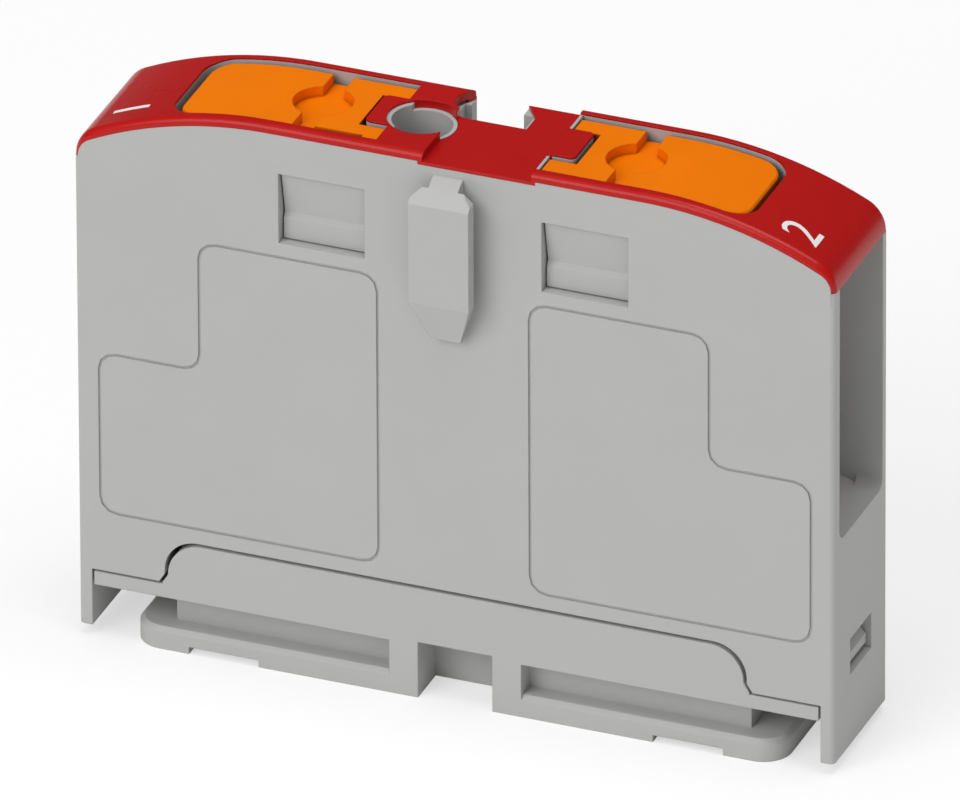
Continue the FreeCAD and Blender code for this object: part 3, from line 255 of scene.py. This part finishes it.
def rolled_sheet():
    """Fine lines along the rolling direction with a mottled brightness."""
    tree, inside, outside = group("Rolled sheet", [
        ("Colour", "NodeSocketColor", (0.5, 0.5, 0.5, 1.0)),
        ("Line width", "NodeSocketFloat", 0.12 * MM),
        ("Roughness", "NodeSocketFloat", 0.35),
    ], [("Colour", "NodeSocketColor"), ("Roughness", "NodeSocketFloat"), ("Height", "NodeSocketFloat")])
    link = tree.links.new
    place = node(tree, "ShaderNodeTexCoord")
    stretch = node(tree, "ShaderNodeMapping", Scale=ROLLING_STRETCH)
    link(place.outputs["Object"], stretch.inputs["Vector"])
    lines = node(tree, "ShaderNodeTexNoise", Detail=3.0, Roughness=0.65)
    link(stretch.outputs[0], lines.inputs["Vector"])
    link(one_and(tree, "DIVIDE", inside.outputs["Line width"]), lines.inputs["Scale"])
    mottle = node(tree, "ShaderNodeTexNoise", Scale=MOTTLE_SCALE, Detail=2.0)
    link(place.outputs["Object"], mottle.inputs["Vector"])
    bright = node(tree, "ShaderNodeMapRange", To_Min=MOTTLE[0], To_Max=MOTTLE[1])
    link(mottle.outputs["Fac"], bright.inputs["Value"])
    link(scaled(tree, inside.outputs["Colour"], bright.outputs["Result"]), outside.inputs["Colour"])
    rolled = strayed(tree, inside.outputs["Roughness"], lines.outputs["Fac"], ROLLED)
    link(rolled, outside.inputs["Roughness"])
    link(lines.outputs["Fac"], outside.inputs["Height"])
    return tree


# Materials

def effect(name, build):
    """Node group of an effect, built the first time that it is asked for."""
    return bpy.data.node_groups.get(name) or build()


def new_material(name, colour):
    material = bpy.data.materials.new(name)
    material.use_nodes = True
    material.diffuse_color = (*colour, 1.0)
    return material, material.node_tree, material.node_tree.nodes["Principled BSDF"]


def skinned(name, colour, depth, skin_group, **values):
    """New material that wears an effect, its height as bumps; values go to the effect's sockets."""
    material, tree, shader = new_material(name, colour)
    skin = node(tree, "ShaderNodeGroup", name="Skin", node_tree=skin_group, Colour=(*colour, 1.0), **values)
    bump = node(tree, "ShaderNodeBump", name="Bumps", Strength=1.0, Distance=depth)
    tree.links.new(skin.outputs["Colour"], shader.inputs["Base Color"])
    tree.links.new(skin.outputs["Roughness"], shader.inputs["Roughness"])
    tree.links.new(skin.outputs["Height"], bump.inputs["Height"])
    tree.links.new(bump.outputs["Normal"], shader.inputs["Normal"])
    return material


def moulded_plastic(name, colour, cloud, shine, roughness, gaps=None):
    """Plastic with soft edges, and with shade painted into its colour in gaps where their two openness values
    are given.
    """
    settings = bpy.context.scene.block_plastics
    material = skinned(name, colour, settings.grain_depth, effect("Moulded skin", moulded_skin),
                       Grain=settings.grain, Cloud=cloud, Roughness=roughness)
    tree = material.node_tree
    tree.nodes["Principled BSDF"].inputs["Specular IOR Level"].default_value = shine
    soft_edge = node(tree, "ShaderNodeBevel", samples=4, Radius=settings.edge)
    tree.links.new(soft_edge.outputs["Normal"], tree.nodes["Bumps"].inputs["Normal"])
    # painted shade: the colour is darkened in narrow gaps
    if gaps:
        paint_gap_shade(tree, settings.shade_crevice, *gaps)
    return material


def paint_gap_shade(tree, width, darkest_at, full_at):
    """Paints shade into the colour in gaps narrower than the width, where hardly any light gets in."""
    near = node(tree, "ShaderNodeAmbientOcclusion", samples=6, Distance=width)
    # painted shade: the colour is scaled down where the ambient occlusion finds a narrow gap
    fall = node(tree, "ShaderNodeMapRange", From_Min=darkest_at, From_Max=full_at, To_Min=DARKEST_GAP_SHADE, To_Max=1.0)
    tree.links.new(near.outputs["AO"], fall.inputs["Value"])
    dim = scaled(tree, tree.nodes["Skin"].outputs["Colour"], fall.outputs["Result"])
    tree.links.new(dim, tree.nodes["Principled BSDF"].inputs["Base Color"])


def sheet_metal(name, colour, roughness, depth):
    material = skinned(name, colour, depth, effect("Rolled sheet", rolled_sheet),
                       Line_width=bpy.context.scene.block_metals.line_width, Roughness=roughness)
    material.node_tree.nodes["Principled BSDF"].inputs["Metallic"].default_value = 1.0
    return material


def dress(names, material):
    for name in names:
        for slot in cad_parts[name].material_slots:
            slot.material = material


# Geometry helpers

def only(piece):
    """Makes a piece the one selected and active object."""
    bpy.ops.object.select_all(action="DESELECT")
    piece.select_set(True)
    bpy.context.view_layer.objects.active = piece


def crown_height(x):
    over = max(abs(x) - CROWN_FLAT, 0.0)
    return CROWN_TOP - CROWN_RADIUS + math.sqrt(CROWN_RADIUS ** 2 - over ** 2)


def merge_doubles(piece):
    only(piece)
    bpy.ops.object.mode_set(mode="EDIT")
    bpy.ops.mesh.select_all(action="SELECT")
    bpy.ops.mesh.remove_doubles(threshold=MERGE)
    bpy.ops.object.mode_set(mode="OBJECT")


def merged_copy(node_name, name, material):
    """Copy of a model node under a new name, with its doubles merged and a material of its own."""
    piece = bpy.data.objects.new(name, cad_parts[node_name].data.copy())
    bpy.context.scene.collection.objects.link(piece)
    merge_doubles(piece)
    if piece.data.has_custom_normals:
        bpy.ops.mesh.customdata_custom_splitnormals_clear()
    piece.data.materials.clear()
    piece.data.materials.append(material)
    return piece


def smooth(piece):
    only(piece)
    bpy.ops.object.shade_smooth_by_angle(angle=SMOOTH_BELOW)


# Operators, one for each piece or group of like pieces

class BLOCK_OT_housing(bpy.types.Operator):
    """Grey housing, and the foot of the same plastic; the key's lower facet leans back to its real slope"""
    bl_idname = "block.housing"
    bl_label = "Housing and foot"

    def execute(self, context):
        plastics = context.scene.block_plastics
        grey = moulded_plastic("grey plastic", plastics.grey, EVEN_CLOUD, GREY_SHINE, plastics.roughness)
        dress(("rail_foot",), grey)
        shell = merged_copy("housing", "housing_shell", grey)
        lean_key_back(shell.data, plastics.key_tip)
        merge_doubles(shell)
        smooth(shell)
        crease_key(shell.data)
        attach(shell, "block")
        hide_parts("housing")
        return {"FINISHED"}


def lean_key_back(mesh, tip_y):
    """Moves both edges of the key's tip to the depth tip_y."""
    for vertex in mesh.vertices:
        at_tip = abs(vertex.co.z - KEY_TIP_Z) < SAME_HEIGHT
        if at_tip and KEY_TIP_FRONT < vertex.co.y < KEY_TIP_BACK:
            vertex.co.y = tip_y


def crease_key(mesh):
    """Keeps the bend between the key's face and its lower facet sharp."""
    for edge in mesh.edges:
        ends = [mesh.vertices[i].co for i in edge.vertices]
        if all(abs(end.z - KEY_BEND_Z) < SAME_HEIGHT and end.y < KEY_TIP_BACK for end in ends):
            edge.use_edge_sharp = True


class BLOCK_OT_lever_frame(bpy.types.Operator):
    """Grey inner frame, whose narrow gaps beside the levers get shade painted into their colour"""
    bl_idname = "block.lever_frame"
    bl_label = "Lever frame"

    def execute(self, context):
        plastics = context.scene.block_plastics
        grey = moulded_plastic("frame plastic with painted gap shade", plastics.grey, EVEN_CLOUD, GREY_SHINE, plastics.roughness,
                               FRAME_GAP_SHADE)
        dress(("lever_frame",), grey)
        return {"FINISHED"}


class BLOCK_OT_cover(bpy.types.Operator):
    """Red plastic of the top cover"""
    bl_idname = "block.cover"
    bl_label = "Cover"

    def execute(self, context):
        plastics = context.scene.block_plastics
        red = moulded_plastic("red plastic", plastics.red, DEEP_CLOUD, RED_SHINE, plastics.red_roughness)
        dress(("top_cover",), red)
        return {"FINISHED"}


class BLOCK_OT_levers(bpy.types.Operator):
    """Two orange release levers, whose rounded ends are drawn in a little from the cover's openings, and
    whose colour has shade painted into the gaps round them
    """
    bl_idname = "block.levers"
    bl_label = "Levers"

    def execute(self, context):
        plastics = context.scene.block_plastics
        orange = moulded_plastic("orange plastic with painted gap shade", plastics.orange, DEEP_CLOUD, ORANGE_SHINE,
                                 plastics.roughness, LEVER_GAP_SHADE)
        for name in LEVERS:
            lever = merged_copy(name, name + "_shell", orange)
            draw_end_in(lever.data, plastics.tip_gap)
            smooth(lever)
            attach(lever, name)
            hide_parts(name)
        return {"FINISHED"}


def draw_end_in(mesh, gap):
    """Shortens a lever's rounded end by the gap, along the crown."""
    squeeze = 1.0 - gap / (LEVER_TIP - LEVER_END)
    for vertex in mesh.vertices:
        over = abs(vertex.co.x) - LEVER_END
        if over > 0.0:
            x = math.copysign(LEVER_END + over * squeeze, vertex.co.x)
            vertex.co.z += crown_height(x) - crown_height(vertex.co.x)
            vertex.co.x = x


class BLOCK_OT_live_parts(bpy.types.Operator):
    """Tin, brass and steel of the parts inside"""
    bl_idname = "block.live_parts"
    bl_label = "Live parts"

    def execute(self, context):
        metals = context.scene.block_metals
        dress(("busbar",), sheet_metal("tinned copper", metals.tin, metals.tin_roughness, metals.line_depth))
        dress(("test_socket",), sheet_metal("turned brass", metals.brass, metals.brass_roughness,
                                            metals.line_depth))
        dress(STEEL_NODES, sheet_metal("spring steel", metals.steel, metals.steel_roughness,
                                       metals.steel_line_depth))
        return {"FINISHED"}


class BLOCK_OT_port_numbers(bpy.types.Operator):
    """Printed port numbers on both ends of the cover"""
    bl_idname = "block.port_numbers"
    bl_label = "Port numbers"

    def execute(self, context):
        marks = context.scene.block_marks
        ink = skinned("white ink", marks.ink, INK_DEPTH, effect("Moulded skin", moulded_skin),
                      Grain=INK_GRAIN, Roughness=marks.roughness)
        for figure, name, side in (("1", "port_number_left", -1), ("2", "port_number_right", 1)):
            piece = printed_figure(figure, name)
            wrap_on_crown(piece.data, side * marks.along, marks)
            piece.data.materials.append(ink)
            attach(piece, "block")
        return {"FINISHED"}


def printed_figure(figure, name):
    """One figure as a flat solid, one high and cut across into strips."""
    bpy.ops.object.select_all(action="DESELECT")
    bpy.ops.object.text_add()
    text = bpy.context.active_object
    text.data.body = figure
    text.data.align_x = "CENTER"
    text.data.align_y = "CENTER"
    text.data.resolution_u = PRINT_CURVE
    only(text)
    bpy.ops.object.convert(target="MESH")
    piece = bpy.context.active_object
    piece.name = piece.data.name = name
    low, high = span(piece.data, 1)
    bpy.ops.object.mode_set(mode="EDIT")
    for i in range(1, PRINT_CUTS):
        bpy.ops.mesh.select_all(action="SELECT")
        bpy.ops.mesh.bisect(plane_co=(0, low + (high - low) * i / PRINT_CUTS, 0), plane_no=(0, 1, 0))
    bpy.ops.mesh.select_all(action="SELECT")
    bpy.ops.mesh.extrude_region_move(TRANSFORM_OT_translate={"value": (0, 0, 1.0)})
    bpy.ops.mesh.select_all(action="SELECT")
    bpy.ops.mesh.normals_make_consistent(inside=False)
    bpy.ops.object.mode_set(mode="OBJECT")
    return piece


def span(mesh, axis):
    """Lowest and highest place of a mesh along an axis."""
    places = [vertex.co[axis] for vertex in mesh.vertices]
    return min(places), max(places)


def wrap_on_crown(mesh, x, marks):
    """Lays a flat figure on the crown at x, so that it reads from the right-hand end."""
    left, right = span(mesh, 0)
    low, high = span(mesh, 1)
    scale = marks.height / (high - low)
    for vertex in mesh.vertices:
        place_x = x - (vertex.co.y - (low + high) / 2) * scale
        place_y = (vertex.co.x - (left + right) / 2) * scale - marks.across
        proud = marks.thickness if vertex.co.z > 0.5 else -marks.thickness
        vertex.co = Vector((place_x, place_y, crown_height(place_x) + proud))


class BLOCK_OT_stage(bpy.types.Operator):
    """Floor, lamps and the camera at the photograph's angle"""
    bl_idname = "block.stage"
    bl_label = "Stage"

    def execute(self, context):
        stage = context.scene.block_stage
        make_floor()
        make_sky(stage)
        add_lamp("Key lamp", KEY_LAMP_PLACE, KEY_LAMP_SIZE, stage.key_power)
        add_lamp("Top lamp", TOP_LAMP_PLACE, TOP_LAMP_SIZE, stage.top_power)
        add_camera(stage)
        context.scene.view_settings.view_transform = "Standard"
        return {"FINISHED"}


def make_floor():
    """White floor that keeps its shadow, and glows for the camera alone, so that it meets the white sky."""
    bpy.ops.object.select_all(action="DESELECT")
    bpy.ops.mesh.primitive_plane_add(size=FLOOR_SIZE, location=(0, 0, 0))
    floor = bpy.context.active_object
    floor.name = "floor"
    material, tree, shader = new_material("white floor", (FLOOR_WHITE,) * 3)
    shader.inputs["Base Color"].default_value = (FLOOR_WHITE, FLOOR_WHITE, FLOOR_WHITE, 1.0)
    shader.inputs["Roughness"].default_value = 1.0
    shader.inputs["Specular IOR Level"].default_value = 0.0
    glow = node(tree, "ShaderNodeEmission", Strength=FLOOR_GLOW)
    rays = node(tree, "ShaderNodeLightPath")
    share = node(tree, "ShaderNodeMath", operation="MULTIPLY")
    share.inputs[1].default_value = FLOOR_GLOW_SHARE
    mix = node(tree, "ShaderNodeMixShader")
    tree.links.new(rays.outputs["Is Camera Ray"], share.inputs[0])
    tree.links.new(share.outputs[0], mix.inputs[0])
    tree.links.new(shader.outputs[0], mix.inputs[1])
    tree.links.new(glow.outputs[0], mix.inputs[2])
    tree.links.new(mix.outputs[0], tree.nodes["Material Output"].inputs["Surface"])
    floor.data.materials.append(material)


def make_sky(stage):
    """Even white light, weaker in reflections, and plain white for the camera."""
    world = bpy.data.worlds.new("Even light")
    bpy.context.scene.world = world
    world.use_nodes = True
    tree = world.node_tree
    light = tree.nodes["Background"]
    light.inputs["Color"].default_value = (1.0, 1.0, 1.0, 1.0)
    seen = node(tree, "ShaderNodeBackground", Color=(1.0, 1.0, 1.0, 1.0), Strength=1.0)
    rays = node(tree, "ShaderNodeLightPath")
    dim = node(tree, "ShaderNodeMapRange", To_Min=stage.sky, To_Max=stage.sky_gloss)
    tree.links.new(rays.outputs["Is Glossy Ray"], dim.inputs["Value"])
    tree.links.new(dim.outputs["Result"], light.inputs["Strength"])
    mix = node(tree, "ShaderNodeMixShader")
    tree.links.new(rays.outputs["Is Camera Ray"], mix.inputs[0])
    tree.links.new(light.outputs[0], mix.inputs[1])
    tree.links.new(seen.outputs[0], mix.inputs[2])
    tree.links.new(mix.outputs[0], tree.nodes["World Output"].inputs["Surface"])


def add_lamp(name, place, size, power):
    bpy.ops.object.light_add(type="AREA", location=place)
    lamp = bpy.context.active_object
    lamp.name = name
    lamp.data.shape = "DISK"
    lamp.data.size = size
    lamp.data.energy = power
    lamp.rotation_euler = (AIM - place).to_track_quat("-Z", "Y").to_euler()


def add_camera(stage):
    flat = math.cos(stage.elevation)
    back = Vector((math.sin(stage.azimuth) * flat, -math.cos(stage.azimuth) * flat,
                   math.sin(stage.elevation)))
    bpy.ops.object.camera_add(location=AIM + back * stage.distance)
    camera = bpy.context.active_object
    camera.name = "Camera"
    camera.data.lens = stage.lens
    camera.data.sensor_width = SENSOR_WIDTH
    camera.data.clip_end = VIEW_DEPTH
    turn = back.to_track_quat("Z", "Y").to_matrix() @ Matrix.Rotation(stage.roll, 3, "Z")
    camera.rotation_euler = turn.to_euler()
    bpy.context.scene.camera = camera


class BLOCK_PT_panel(bpy.types.Panel):
    """Sizes, colours and steps of the distribution block"""
    bl_idname = "BLOCK_PT_panel"
    bl_label = "Distribution block"
    bl_space_type = "VIEW_3D"
    bl_region_type = "UI"
    bl_category = "Block"

    def draw(self, context):
        for name in GROUPS:
            settings = getattr(context.scene, name)
            column = self.layout.column(align=True)
            for key in settings.__annotations__:
                column.prop(settings, key)
        for step in OPERATORS:
            self.layout.operator(step.bl_idname)


GROUPS = {"block_plastics": BlockPlastics, "block_metals": BlockMetals, "block_marks": BlockMarks,
          "block_stage": BlockStage}
OPERATORS = (BLOCK_OT_housing, BLOCK_OT_lever_frame, BLOCK_OT_cover, BLOCK_OT_levers, BLOCK_OT_live_parts,
             BLOCK_OT_port_numbers, BLOCK_OT_stage)


def register():
    for cls in (*GROUPS.values(), *OPERATORS, BLOCK_PT_panel):
        bpy.utils.register_class(cls)
    for key, cls in GROUPS.items():
        setattr(bpy.types.Scene, key, PointerProperty(type=cls))


def unregister():
    for key in GROUPS:
        delattr(bpy.types.Scene, key)
    for cls in (BLOCK_PT_panel, *reversed(OPERATORS), *reversed(GROUPS.values())):
        bpy.utils.unregister_class(cls)


def main():
    register()
    bpy.ops.block.housing()
    bpy.ops.block.lever_frame()
    bpy.ops.block.cover()
    bpy.ops.block.levers()
    bpy.ops.block.live_parts()
    bpy.ops.block.port_numbers()
    bpy.ops.block.stage()


if __name__ == "__main__":
    main()
